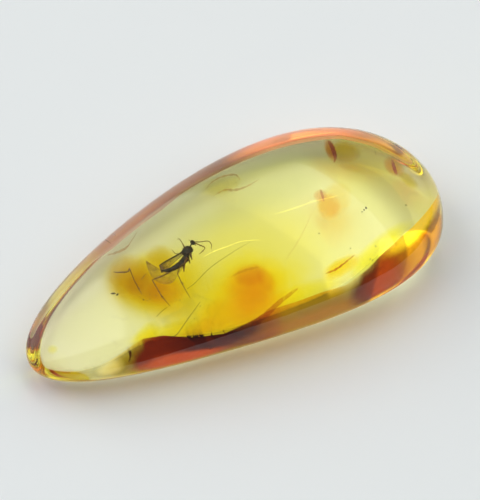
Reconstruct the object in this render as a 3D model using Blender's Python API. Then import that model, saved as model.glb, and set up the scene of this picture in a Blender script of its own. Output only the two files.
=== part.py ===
# Insect in amber: a polished drop of amber, parted in two round a pocket that holds a small gnat
# and one of its hind legs, which lies loose beside it.
# Metres, +Z up. +X runs along the drop to its broad end, and its ground-flat underside is z = 0.
import math

import bmesh
import bpy
from mathutils import Matrix, Vector

MM = 0.001

# The drop. A station runs from -1 at the tip to 1 at the broad end.
LENGTH = 42.0 * MM
HALF_WIDTH = 9.4 * MM           # at mid-length
WIDTH_SLOPE = 0.33              # how fast it widens towards the broad end
WIDTH_CURVE = 0.16
DOME_HEIGHT = 5.8 * MM          # the dome above the girdle, at mid-length
DOME_SLOPE = 0.4
DOME_FULLNESS = 0.8             # under 1, the dome stays high towards both ends
DOME_EXPONENT = 2.1
GIRDLE_HEIGHT = 3.8 * MM        # the widest line above the underside, at mid-length
GIRDLE_SLOPE = 0.3
KEEL_DEPTH = 9.3 * MM           # how far down the sides would meet, were it not ground flat
KEEL_FULLNESS = 1.1
KEEL_EXPONENT = 1.2             # at mid-length, a nearly straight chamfer in to the flat
END_EXPONENT = 2.0              # at both ends, a round underside
FLAT_EDGE = 16                  # how tight the turn round the flat is
SIDE_BEND = 1.5 * MM            # the mid-line bows sideways
SIDE_SWAY = 0.35 * MM
FLAT_TOLERANCE = 0.002 * MM
DROP_SEGMENTS = 56
DROP_RINGS = 38

# Where the drop is parted, and the pocket round the gnat.
PARTING_HEIGHT = 4.6 * MM
GAP = 0.3 * MM
POCKET_RADII = (6.9 * MM, 4.8 * MM, 1.7 * MM)
POCKET_CENTRE = (-1.9 * MM, 0.2 * MM)     # along and across the gnat, from its thorax
POCKET_SEGMENTS = 32
POCKET_RINGS = 16

# The gnat lies on its side: its local X points to its head, Y to its back, Z across its body.
GNAT_PLACE = (-3.3 * MM, 1.18 * MM, PARTING_HEIGHT)
GNAT_TURN = math.radians(20.6)
LEG_SIDES = 1                   # bevel resolution: 1 gives six sides, 2 gives eight
BODY_SIDES = 2
WING_THICKNESS = 0.05 * MM
WELD = 0.0005 * MM

# Body sections along the gnat, in millimetres: place (x, y, z), then radius.
ABDOMEN = (
    ((-0.05, -0.22, 0.0), 0.17), ((-0.30, -0.34, 0.0), 0.25), ((-0.65, -0.42, 0.0), 0.27),
    ((-1.05, -0.43, 0.0), 0.26), ((-1.45, -0.37, 0.0), 0.24), ((-1.85, -0.27, 0.0), 0.21),
    ((-2.20, -0.14, 0.0), 0.18), ((-2.50, 0.03, 0.0), 0.15), ((-2.72, 0.22, 0.0), 0.12),
    ((-2.82, 0.42, 0.0), 0.07),
)
NECK = (((0.60, 0.08, 0.0), 0.12), ((0.85, 0.14, 0.0), 0.08), ((1.12, 0.20, 0.0), 0.07))

# Balls: name, centre, half-sizes and turn about Z in degrees, in millimetres.
BALLS = (
    ("thorax", (0.25, 0.02, 0.0), (0.55, 0.42, 0.36), -12),
    ("shoulder", (0.58, -0.04, 0.0), (0.24, 0.34, 0.27), 0),
    ("head", (1.22, 0.20, 0.0), (0.20, 0.27, 0.24), 15),
    ("eye_near", (1.24, 0.24, 0.13), (0.15, 0.20, 0.13), 15),
    ("eye_far", (1.24, 0.24, -0.13), (0.15, 0.20, 0.13), 15),
)

# Limbs: name, then the points of each one's mid-line and the radius there, in millimetres.
LIMBS = {
    "feeler_near": (((1.34, 0.12, 0.10), 0.045), ((1.70, -0.30, 0.18), 0.040),
                    ((2.05, -0.58, 0.22), 0.036), ((2.27, -0.82, 0.20), 0.032),
                    ((2.22, -1.18, 0.14), 0.028), ((1.90, -1.42, 0.10), 0.022)),
    "feeler_far": (((1.36, 0.06, -0.10), 0.050), ((1.58, -0.45, -0.20), 0.048),
                   ((1.68, -0.88, -0.22), 0.036), ((1.22, -0.95, -0.16), 0.030),
                   ((0.84, -0.94, -0.12), 0.022)),
    "beak": (((1.26, 0.00, 0.0), 0.07), ((1.20, -0.22, 0.0), 0.03)),
    "bristle": (((1.20, 0.38, 0.0), 0.05), ((1.16, 0.72, 0.0), 0.02)),
    "front_leg_near": (((0.22, 0.28, 0.20), 0.060), ((0.40, 0.80, 0.42), 0.045),
                       ((0.54, 1.22, 0.40), 0.036), ((0.38, 1.37, 0.36), 0.024)),
    "front_leg_far": (((0.02, 0.12, -0.15), 0.060), ((-0.34, 0.42, -0.40), 0.045),
                      ((-0.56, 0.72, -0.44), 0.036), ((-0.50, 1.20, -0.40), 0.024)),
    "middle_hip_near": (((0.30, -0.25, 0.12), 0.13), ((0.02, -0.62, 0.22), 0.11),
                        ((-0.17, -0.97, 0.26), 0.04)),
    "middle_hip_far": (((0.05, -0.20, -0.12), 0.13), ((-0.22, -0.60, -0.20), 0.11),
                       ((-0.42, -0.95, -0.24), 0.04)),
    "middle_leg": (((-0.35, -0.45, 0.16), 0.12), ((-0.95, -0.72, 0.34), 0.10),
                   ((-1.50, -0.66, 0.42), 0.055), ((-2.21, -0.95, 0.40), 0.045),
                   ((-2.60, -1.80, 0.34), 0.045), ((-2.85, -2.50, 0.30), 0.032),
                   ((-3.12, -3.27, 0.26), 0.022)),
    "middle_spur": (((-2.56, -1.72, 0.34), 0.040), ((-2.72, -1.98, 0.46), 0.018)),
    "hind_hip": (((-0.75, -0.50, -0.06), 0.14), ((-1.10, -0.78, -0.14), 0.11),
                 ((-1.48, -1.12, -0.16), 0.04)),
    "hind_leg": (((-0.90, -0.40, -0.14), 0.12), ((-1.60, -0.30, -0.40), 0.10),
                 ((-2.80, 0.02, -0.46), 0.080), ((-4.03, 0.46, -0.36), 0.045),
                 ((-4.36, -0.42, -0.28), 0.045), ((-4.62, -1.10, -0.22), 0.045),
                 ((-4.76, -1.80, -0.20), 0.032), ((-4.86, -2.42, -0.18), 0.022)),
    "hind_spur": (((-4.60, -1.02, -0.22), 0.040), ((-4.74, -1.36, -0.34), 0.018)),
}
LOOSE_LEG = (
    ((-6.00, 3.50, 0.04), 0.035), ((-5.80, 3.22, 0.04), 0.060), ((-5.50, 2.92, 0.03), 0.065),
    ((-5.20, 2.62, 0.02), 0.070), ((-5.02, 2.52, 0.02), 0.060), ((-4.70, 2.68, 0.00), 0.045),
    ((-5.02, 2.08, 0.00), 0.042), ((-5.32, 1.52, -0.02), 0.040), ((-5.62, 0.78, -0.04), 0.036),
    ((-5.86, 0.08, -0.06), 0.030),
)
LOOSE_SPUR = (((-5.60, 0.85, -0.04), 0.036), ((-5.68, 0.50, 0.10), 0.016))

# Wings: outlines in the gnat's own side view, in millimetres, with a height and a tilt across it.
WINGS = {
    "wing_folded": {
        "outline": ((-0.05, 0.10), (-0.55, 0.02), (-1.40, 0.20), (-2.20, 0.38), (-2.75, 0.42),
                    (-2.95, 0.58), (-2.75, 0.74), (-2.20, 0.66), (-1.40, 0.48), (-0.60, 0.30),
                    (0.00, 0.25)),
        "height": 0.12, "tilt": -3.0},
    "wing_spread": {
        "outline": ((-0.10, -0.15), (-0.90, -0.62), (-1.70, -0.86), (-2.50, -0.98), (-3.10, -0.86),
                    (-3.55, -0.50), (-3.72, -0.06), (-3.50, 0.14), (-2.90, 0.06), (-1.90, -0.06),
                    (-0.90, -0.05), (-0.10, 0.00)),
        "height": -0.10, "tilt": 4.0},
}

AMBER = {"colour": (0.86, 0.62, 0.09, 1.0), "roughness": 0.05, "transmission": 1.0}
CHITIN = {"colour": (0.030, 0.022, 0.016, 1.0), "roughness": 0.45, "transmission": 0.0}
AMBER_IOR = 1.54


def clear_scene():
    for item in list(bpy.data.objects):
        bpy.data.objects.remove(item, do_unlink=True)


def add_collection(name):
    collection = bpy.data.collections.new(name)
    bpy.context.scene.collection.children.link(collection)
    return collection


def add_object(name, mesh, collection):
    item = bpy.data.objects.new(name, mesh)
    collection.objects.link(item)
    return item


def add_material(name, look):
    material = bpy.data.materials.new(name)
    material.use_nodes = True
    shader = material.node_tree.nodes["Principled BSDF"]
    shader.inputs["Base Color"].default_value = look["colour"]
    shader.inputs["Roughness"].default_value = look["roughness"]
    shader.inputs["Metallic"].default_value = 0.0
    shader.inputs["Transmission Weight"].default_value = look["transmission"]
    shader.inputs["IOR"].default_value = AMBER_IOR
    return material


def mesh_from(work, name):
    mesh = bpy.data.meshes.new(name)
    work.to_mesh(mesh)
    work.free()
    return mesh


def mark_cutter(item):
    item.hide_render = True
    item.display_type = "WIRE"


def add_boolean(item, operation, operand):
    modifier = item.modifiers.new(operand.name, "BOOLEAN")
    modifier.operation = operation
    modifier.solver = "EXACT"
    if isinstance(operand, bpy.types.Collection):
        modifier.operand_type = "COLLECTION"
        modifier.collection = operand
    else:
        modifier.object = operand


def softer_of(first, second):
    """The smaller of two depths, with a rounded turn where they cross."""
    power = -FLAT_EDGE
    return (first ** power + second ** power) ** (1.0 / power)


def drop_point(place):
    """Where a point of the unit ball, with its poles on X, lies on the drop."""
    station = max(-1.0, min(1.0, place.x))
    ring = math.sqrt(max(0.0, 1.0 - station ** 2))
    across, rise = (place.y / ring, place.z / ring) if ring > 1e-6 else (1.0, 0.0)
    upper = rise >= 0.0
    keel_exponent = END_EXPONENT + (KEEL_EXPONENT - END_EXPONENT) * math.sqrt(ring)
    exponent = DOME_EXPONENT if upper else keel_exponent
    width = HALF_WIDTH * (1.0 + WIDTH_SLOPE * station + WIDTH_CURVE * station ** 2) * ring
    side = math.copysign(abs(across) ** (2.0 / exponent), across)
    bend = SIDE_BEND * (1.0 - station ** 2) + SIDE_SWAY * (station - station ** 3)
    girdle_scale = 1.0 + GIRDLE_SLOPE * station
    if upper:
        dome = DOME_HEIGHT * (1.0 + DOME_SLOPE * station) * ring ** DOME_FULLNESS
        height = dome * abs(rise) ** (2.0 / exponent)
    else:
        keel = KEEL_DEPTH * ring ** KEEL_FULLNESS * abs(rise) ** (2.0 / exponent)
        height = -softer_of(GIRDLE_HEIGHT, max(keel, 1e-7)) * girdle_scale
    z = GIRDLE_HEIGHT * girdle_scale + height
    return Vector((LENGTH / 2 * station, width * side + bend, 0.0 if z < FLAT_TOLERANCE else z))


def make_drop_mesh():
    work = bmesh.new()
    bmesh.ops.create_uvsphere(work, u_segments=DROP_SEGMENTS, v_segments=DROP_RINGS, radius=1.0)
    bmesh.ops.rotate(work, verts=work.verts, matrix=Matrix.Rotation(math.pi / 2, 3, "Y"))
    for vert in work.verts:
        vert.co = drop_point(vert.co)
    sides = [vert.co.y for vert in work.verts]
    middle = (min(sides) + max(sides)) / 2
    bmesh.ops.translate(work, verts=work.verts, vec=(0.0, -middle, 0.0))
    flat = [face for face in work.faces if all(vert.co.z == 0.0 for vert in face.verts)]
    bmesh.ops.dissolve_faces(work, faces=flat, use_verts=True)
    bmesh.ops.recalc_face_normals(work, faces=work.faces)
    return mesh_from(work, "drop")


def make_parting_block(name, low, high, collection):
    """A block over the whole drop between two heights, to cut away what is not wanted."""
    work = bmesh.new()
    bmesh.ops.create_cube(work, size=1.0)
    size = Vector((LENGTH * 1.5, LENGTH, high - low))
    bmesh.ops.scale(work, verts=work.verts, vec=size)
    bmesh.ops.translate(work, verts=work.verts, vec=(0.0, 0.0, (low + high) / 2))
    block = add_object(name, mesh_from(work, name), collection)
    mark_cutter(block)
    return block


def in_gnat_frame():
    """The turn and place that carry the gnat's own frame into the drop."""
    return Matrix.Translation(GNAT_PLACE) @ Matrix.Rotation(GNAT_TURN, 4, "Z")


def make_pocket(collection):
    work = bmesh.new()
    bmesh.ops.create_uvsphere(
        work, u_segments=POCKET_SEGMENTS, v_segments=POCKET_RINGS, radius=1.0)
    bmesh.ops.scale(work, verts=work.verts, vec=POCKET_RADII)
    bmesh.ops.translate(work, verts=work.verts, vec=(*POCKET_CENTRE, 0.0))
    pocket = add_object("pocket", mesh_from(work, "pocket"), collection)
    pocket.matrix_world = in_gnat_frame()
    mark_cutter(pocket)
    return pocket


def make_amber(collection, cutters):
    material = add_material("amber", AMBER)
    pocket = make_pocket(cutters)
    reach = LENGTH / 2
    wanted = {
        "amber_upper": (-reach, PARTING_HEIGHT + GAP / 2),
        "amber_lower": (PARTING_HEIGHT - GAP / 2, reach),
    }
    drop = make_drop_mesh()
    for name, (low, high) in wanted.items():
        mesh = drop.copy()
        mesh.name = name
        mesh.shade_smooth()
        mesh.set_sharp_from_angle(angle=math.radians(30))
        mesh.materials.append(material)
        half = add_object(name, mesh, collection)
        block = make_parting_block(name + "_cut", low, high, cutters)
        add_boolean(half, "DIFFERENCE", block)
        add_boolean(half, "DIFFERENCE", pocket)
    bpy.data.meshes.remove(drop)


def make_ball(name, centre, half_sizes, turn, collection):
    work = bmesh.new()
    bmesh.ops.create_uvsphere(work, u_segments=12, v_segments=8, radius=MM)
    bmesh.ops.scale(work, verts=work.verts, vec=half_sizes)
    bmesh.ops.rotate(work, verts=work.verts, matrix=Matrix.Rotation(math.radians(turn), 3, "Z"))
    bmesh.ops.translate(work, verts=work.verts, vec=Vector(centre) * MM)
    return add_object(name, mesh_from(work, name), collection)


def curve_to_mesh(curve, name, collection):
    """Turn a curve into a closed mesh object, with its loose caps welded on."""
    guide = add_object(name + "_curve", curve, collection)
    bpy.context.view_layer.update()
    evaluated = guide.evaluated_get(bpy.context.evaluated_depsgraph_get())
    mesh = bpy.data.meshes.new_from_object(evaluated)
    work = bmesh.new()
    work.from_mesh(mesh)
    bmesh.ops.remove_doubles(work, verts=work.verts, dist=WELD)
    bmesh.ops.recalc_face_normals(work, faces=work.faces)
    work.to_mesh(mesh)
    work.free()
    item = add_object(name, mesh, collection)
    item.matrix_world = guide.matrix_world
    bpy.data.objects.remove(guide, do_unlink=True)
    return item


def make_tube(name, sections, sides, collection):
    """A tube through the sections, each a place and a radius in millimetres."""
    curve = bpy.data.curves.new(name, "CURVE")
    curve.dimensions = "3D"
    curve.bevel_depth = MM
    curve.bevel_resolution = sides
    curve.use_fill_caps = True
    spline = curve.splines.new("POLY")
    spline.points.add(len(sections) - 1)
    for point, (place, radius) in zip(spline.points, sections):
        point.co = (*(Vector(place) * MM), 1.0)
        point.radius = radius
    return curve_to_mesh(curve, name, collection)


def make_wing(name, wing, collection):
    curve = bpy.data.curves.new(name, "CURVE")
    curve.dimensions = "2D"
    curve.fill_mode = "BOTH"
    curve.extrude = WING_THICKNESS / 2
    spline = curve.splines.new("POLY")
    spline.points.add(len(wing["outline"]) - 1)
    spline.use_cyclic_u = True
    for point, place in zip(spline.points, wing["outline"]):
        point.co = (place[0] * MM, place[1] * MM, 0.0, 1.0)
    item = curve_to_mesh(curve, name, collection)
    lie = Matrix.Rotation(math.radians(wing["tilt"]), 4, "Y")
    item.data.transform(Matrix.Translation((0.0, 0.0, wing["height"] * MM)) @ lie)
    return item


def place_gnat_piece(item, parts, material):
    """Carry an item and the pieces that join it into the drop."""
    for piece in (item, *parts.objects):
        piece.matrix_world = in_gnat_frame()
    for piece in parts.objects:
        mark_cutter(piece)
    item.data.materials.append(material)
    item.data.shade_smooth()
    add_boolean(item, "UNION", parts)


def make_gnat(collection, material):
    parts = add_collection("gnat_parts")
    for name, centre, half_sizes, turn in BALLS:
        make_ball(name, centre, half_sizes, turn, parts)
    make_tube("neck", NECK, BODY_SIDES, parts)
    for name, sections in LIMBS.items():
        make_tube(name, sections, LEG_SIDES, parts)
    for name, wing in WINGS.items():
        make_wing(name, wing, parts)
    gnat = make_tube("insect", ABDOMEN, BODY_SIDES, collection)
    place_gnat_piece(gnat, parts, material)


def make_loose_leg(collection, material):
    parts = add_collection("loose_leg_parts")
    make_tube("loose_spur", LOOSE_SPUR, LEG_SIDES, parts)
    leg = make_tube("loose_leg", LOOSE_LEG, LEG_SIDES, collection)
    place_gnat_piece(leg, parts, material)


def main():
    clear_scene()
    pieces = add_collection("insect_in_amber")
    cutters = add_collection("cutters")
    chitin = add_material("chitin", CHITIN)
    make_amber(pieces, cutters)
    make_gnat(pieces, chitin)
    make_loose_leg(pieces, chitin)


main()
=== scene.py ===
import math
import random

import bmesh
import bpy
from mathutils import Matrix, Vector, noise
from mathutils.bvhtree import BVHTree


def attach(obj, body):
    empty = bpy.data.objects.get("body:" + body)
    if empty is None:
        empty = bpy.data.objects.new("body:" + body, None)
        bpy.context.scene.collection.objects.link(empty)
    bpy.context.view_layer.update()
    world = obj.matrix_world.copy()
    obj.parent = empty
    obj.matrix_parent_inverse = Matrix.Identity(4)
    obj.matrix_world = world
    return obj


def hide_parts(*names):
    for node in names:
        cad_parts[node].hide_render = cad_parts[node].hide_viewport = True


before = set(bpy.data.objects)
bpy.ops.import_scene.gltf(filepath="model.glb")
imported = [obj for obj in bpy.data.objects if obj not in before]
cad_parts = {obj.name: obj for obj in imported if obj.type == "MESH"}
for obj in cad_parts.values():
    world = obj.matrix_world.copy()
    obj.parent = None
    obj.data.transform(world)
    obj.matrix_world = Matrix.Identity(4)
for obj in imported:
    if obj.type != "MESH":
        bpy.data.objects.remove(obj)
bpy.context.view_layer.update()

mm = 0.001
white = (1.0, 1.0, 1.0)
black = (0.0, 0.0, 0.0)
print("frame loaded:", ", ".join(sorted(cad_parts)))


# picking and settling objects

def pick(*items):
    bpy.ops.object.select_all(action="DESELECT")
    for item in items:
        item.select_set(True)
    if items:
        bpy.context.view_layer.objects.active = items[0]


def settle(item):
    pick(item)
    bpy.ops.object.transform_apply(location=True, rotation=True, scale=True)


def joinUp(items, name):
    pick(*items)
    bpy.ops.object.join()
    whole = bpy.context.view_layer.objects.active
    whole.name = name
    whole.data.name = name
    settle(whole)
    return whole


def outward(item):  # merge doubles, then faces out
    pick(item)
    bpy.ops.object.mode_set(mode="EDIT")
    bpy.ops.mesh.select_all(action="SELECT")
    bpy.ops.mesh.remove_doubles(threshold=0.0000005)
    bpy.ops.mesh.normals_make_consistent(inside=False)
    bpy.ops.object.mode_set(mode="OBJECT")


def applyModifiers(item):
    pick(item)
    for modifier in list(item.modifiers):
        bpy.ops.object.modifier_apply(modifier=modifier.name)


def linked(name, mesh):  # a new object round a mesh or curve
    item = bpy.data.objects.new(name, mesh)
    bpy.context.scene.collection.objects.link(item)
    return item


def sheet(name, verts, faces, mark, values):  # a mesh with a number kept on each point
    mesh = bpy.data.meshes.new(name)
    mesh.from_pydata(verts, [], faces)
    kept = mesh.attributes.new(mark, "FLOAT", "POINT")
    for index, value in enumerate(values):
        kept.data[index].value = value
    return linked(name, mesh)


def thicken(item, thickness):  # a sheet given two sides
    wall = item.modifiers.new("wall", "SOLIDIFY")
    wall.thickness = thickness
    applyModifiers(item)


# shader maths on sockets

class Value:  # one socket, so that sums and products read as sums
    def __init__(self, finish, socket):
        self.finish = finish
        self.socket = socket

    def sum(self, operation, first, second):
        return self.finish.add("ShaderNodeMath", {"operation": operation}, {0: first, 1: second})

    def __add__(self, other):
        return self.sum("ADD", self, other)

    def __radd__(self, other):
        return self.sum("ADD", other, self)

    def __sub__(self, other):
        return self.sum("SUBTRACT", self, other)

    def __rsub__(self, other):
        return self.sum("SUBTRACT", other, self)

    def __mul__(self, other):
        return self.sum("MULTIPLY", self, other)

    def __truediv__(self, other):
        return self.sum("DIVIDE", self, other)

    def __pow__(self, other):
        return self.sum("POWER", self, other)


class Graph:  # any tree of nodes
    def __init__(self, tree):
        self.tree = tree

    def add(self, kind, settings=None, sockets=None, out=0):
        node = self.tree.nodes.new(kind)
        for name, value in (settings or {}).items():
            if name == "stops":
                while len(node.color_ramp.elements) < len(value):
                    node.color_ramp.elements.new(0.5)
                for element, (place, shade) in zip(node.color_ramp.elements, value):
                    element.position = place
                    element.color = (*shade, 1.0)
            else:
                setattr(node, name, value)
        for key, value in (sockets or {}).items():
            self.feed(node.inputs[key], value)
        return Value(self, node.outputs[out])

    def feed(self, socket, value):
        if isinstance(value, Value):
            self.tree.links.new(value.socket, socket)
        elif socket.type == "RGBA" and len(value) == 3:
            socket.default_value = (*value, 1.0)
        else:
            socket.default_value = value

    def within(self, value, low, high):  # 0 to 1 as value goes from low to high, eased
        return self.add("ShaderNodeMapRange", {"interpolation_type": "SMOOTHSTEP"},
                        {"Value": value, "From Min": low, "From Max": high})

    def mixed(self, share, first, second):
        return self.add("ShaderNodeMix", {"data_type": "RGBA"}, {0: share, 6: first, 7: second}, out=2)


class Finish(Graph):  # a material
    def __init__(self, name):
        self.material = bpy.data.materials.new(name)
        self.material.use_nodes = True
        super().__init__(self.material.node_tree)
        self.shader = self.tree.nodes["Principled BSDF"]
        self.end = self.tree.nodes["Material Output"]

    def set(self, name, value):
        self.feed(self.shader.inputs[name], value)

    def setClear(self, index=1.0):  # clear; an index of 1 only tints what is behind it
        self.set("Roughness", 0.0)
        self.set("IOR", index)
        self.set("Transmission Weight", 1.0)

    def place(self, scale=(1, 1, 1), turn=(0, 0, 0)):  # object coordinates, in millimetres
        where = self.add("ShaderNodeTexCoord", out="Object")
        return self.add("ShaderNodeMapping", sockets={
            "Vector": where, "Rotation": turn, "Scale": tuple(share / mm for share in scale)})

    def grain(self, where, scale, detail=3.0, rough=0.5, warp=0.0):
        return self.add("ShaderNodeTexNoise", sockets={
            "Vector": where, "Scale": scale, "Detail": detail, "Roughness": rough, "Distortion": warp})

    def ramp(self, value, stops):
        return self.add("ShaderNodeValToRGB", {"stops": stops}, {0: value})

    def mark(self, name, out="Fac"):  # a number or colour kept on each point of the mesh
        return self.add("ShaderNodeAttribute", {"attribute_name": name}, out=out)

    def bump(self, height, depth, strength=1.0, invert=False):  # depth in millimetres
        self.set("Normal", self.add("ShaderNodeBump", {"invert": invert}, {
            "Height": height, "Distance": depth * mm, "Strength": strength}, out="Normal"))


# the camera, above the front left

cameraSetup = {
    "turn": 25.657, "rise": 57,  # degrees round the drop and above the floor
    "distance": 0.6007,
    "frameHeight": 0.0470986,  # metres of the picture's height at the drop
    "aim": (0.0013001, 0.0032401),  # metres right and up of the origin
}


def heading(turn, rise):  # a direction; turn 0 is straight away from the camera, 90 its right
    side = math.radians(-cameraSetup["turn"])
    ahead = Vector((-math.sin(side), math.cos(side), 0.0))
    right = Vector((math.cos(side), math.sin(side), 0.0))
    turn, rise = math.radians(turn), math.radians(rise)
    return (ahead * math.cos(turn) + right * math.sin(turn)) * math.cos(rise) + Vector((0, 0, math.sin(rise)))


def makeCamera(setup):
    back = heading(180.0, setup["rise"])
    right = heading(90.0, 0.0)
    up = back.cross(right)
    target = right * setup["aim"][0] + up * setup["aim"][1]
    bpy.ops.object.camera_add(location=target + back * setup["distance"])
    camera = bpy.context.object
    camera.name = "camera"
    camera.rotation_euler = back.to_track_quat("Z", "Y").to_euler()
    camera.data.sensor_width = 36.0
    camera.data.lens = 36.0 * setup["distance"] / setup["frameHeight"]
    camera.data.clip_start = 0.01
    bpy.context.scene.camera = camera


makeCamera(cameraSetup)
print("camera set")


# the amber drop: a fine ball pulled into a drop with a flat underside

drop = {
    "segments": 288, "rings": 200,
    "length": 42, "halfWidth": 9.4, "widthSlope": 0.33, "widthCurve": 0.16,
    "domeHeight": 5.8, "domeSlope": 0.4, "domeFullness": 0.8, "domeExponent": 2.1,
    "girdleHeight": 3.8, "girdleSlope": 0.3,
    "keelDepth": 9.3, "keelFullness": 1.1, "keelExponent": 1.2, "endExponent": 2, "flatEdge": 16,
    "bend": 1.5, "sway": 0.35, "aside": -1.424,
    # hollows in the flat: middle and reach along the drop, where they start across it, slope
    "hollows": ((-9.6, 4.6, -2, 0.12), (16, 6, -1.6, 0.14)),
    "clear": (0.99, 0.985, 0.94),  # what the skin lets through
    "index": 1.54,
    "absorbs": (0.002, 0.0045, 0.055),  # red, green and blue, per millimetre
}


def dropPoint(ball):  # takes a point of the unit ball, poles on X; gives millimetres
    station = max(-1.0, min(1.0, ball.x))
    ring = math.sqrt(max(0.0, 1.0 - station ** 2))
    across, rise = (ball.y / ring, ball.z / ring) if ring > 1e-6 else (1.0, 0.0)
    keel = drop["endExponent"] + (drop["keelExponent"] - drop["endExponent"]) * math.sqrt(ring)
    exponent = drop["domeExponent"] if rise >= 0.0 else keel
    swell = 1.0 + drop["widthSlope"] * station + drop["widthCurve"] * station ** 2
    width = drop["halfWidth"] * swell * ring
    side = math.copysign(abs(across) ** (2.0 / exponent), across) * width
    bend = drop["bend"] * (1.0 - station ** 2) + drop["sway"] * (station - station ** 3)
    girdle = 1.0 + drop["girdleSlope"] * station
    if rise >= 0.0:
        crown = drop["domeHeight"] * (1.0 + drop["domeSlope"] * station) * ring ** drop["domeFullness"]
        height = crown * rise ** (2.0 / exponent)
    else:
        depth = max(1e-4, drop["keelDepth"] * ring ** drop["keelFullness"] * abs(rise) ** (2.0 / exponent))
        power = -drop["flatEdge"]
        height = -(drop["girdleHeight"] ** power + depth ** power) ** (1.0 / power) * girdle
    x, y = drop["length"] / 2 * station, side + bend + drop["aside"]
    z = max(0.0, drop["girdleHeight"] * girdle + height)
    if rise < 0.0:
        for middle, reach, start, slope in drop["hollows"]:
            lift = slope * max(0.0, start - y) * math.exp(-((x - middle) / reach) ** 2)
            z = (z ** 4 + lift ** 4) ** 0.25
    return Vector((x, y, z))


def makeDrop(name):
    pick()
    bpy.ops.mesh.primitive_uv_sphere_add(segments=drop["segments"], ring_count=drop["rings"])
    ball = bpy.context.object
    ball.name = name
    ball.data.name = name
    bpy.ops.object.mode_set(mode="EDIT")
    bpy.ops.mesh.select_all(action="SELECT")
    bpy.ops.transform.rotate(value=math.pi / 2, orient_axis="Y", center_override=(0, 0, 0))
    bpy.ops.object.mode_set(mode="OBJECT")
    for vert in ball.data.vertices:
        vert.co = dropPoint(vert.co) * mm
    outward(ball)
    bpy.ops.object.shade_smooth()
    return ball


def amberFinish():
    finish = Finish("clear amber")
    where = finish.place()
    cloud = finish.grain(where, 0.16, 2.0)
    finish.set("Base Color", finish.mixed(finish.within(cloud, 0.3, 0.75), white, drop["clear"]))
    finish.setClear(drop["index"])
    density = max(drop["absorbs"]) * 1000 / 0.9  # keeps every channel of the colour above 0
    colour = tuple(1 - share * 1000 / density for share in drop["absorbs"])
    volume = finish.add("ShaderNodeVolumeAbsorption", sockets={"Color": colour, "Density": density})
    finish.feed(finish.end.inputs["Volume"], volume)
    return finish.material


amber = makeDrop("amber")
amber.data.materials.append(amberFinish())
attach(amber, "root")
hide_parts("amber_upper", "amber_lower")
print("amber drop made:", len(amber.data.polygons), "faces")


# the gnat: it lies on its side, so its X runs to its head and its Y to its back

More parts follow.
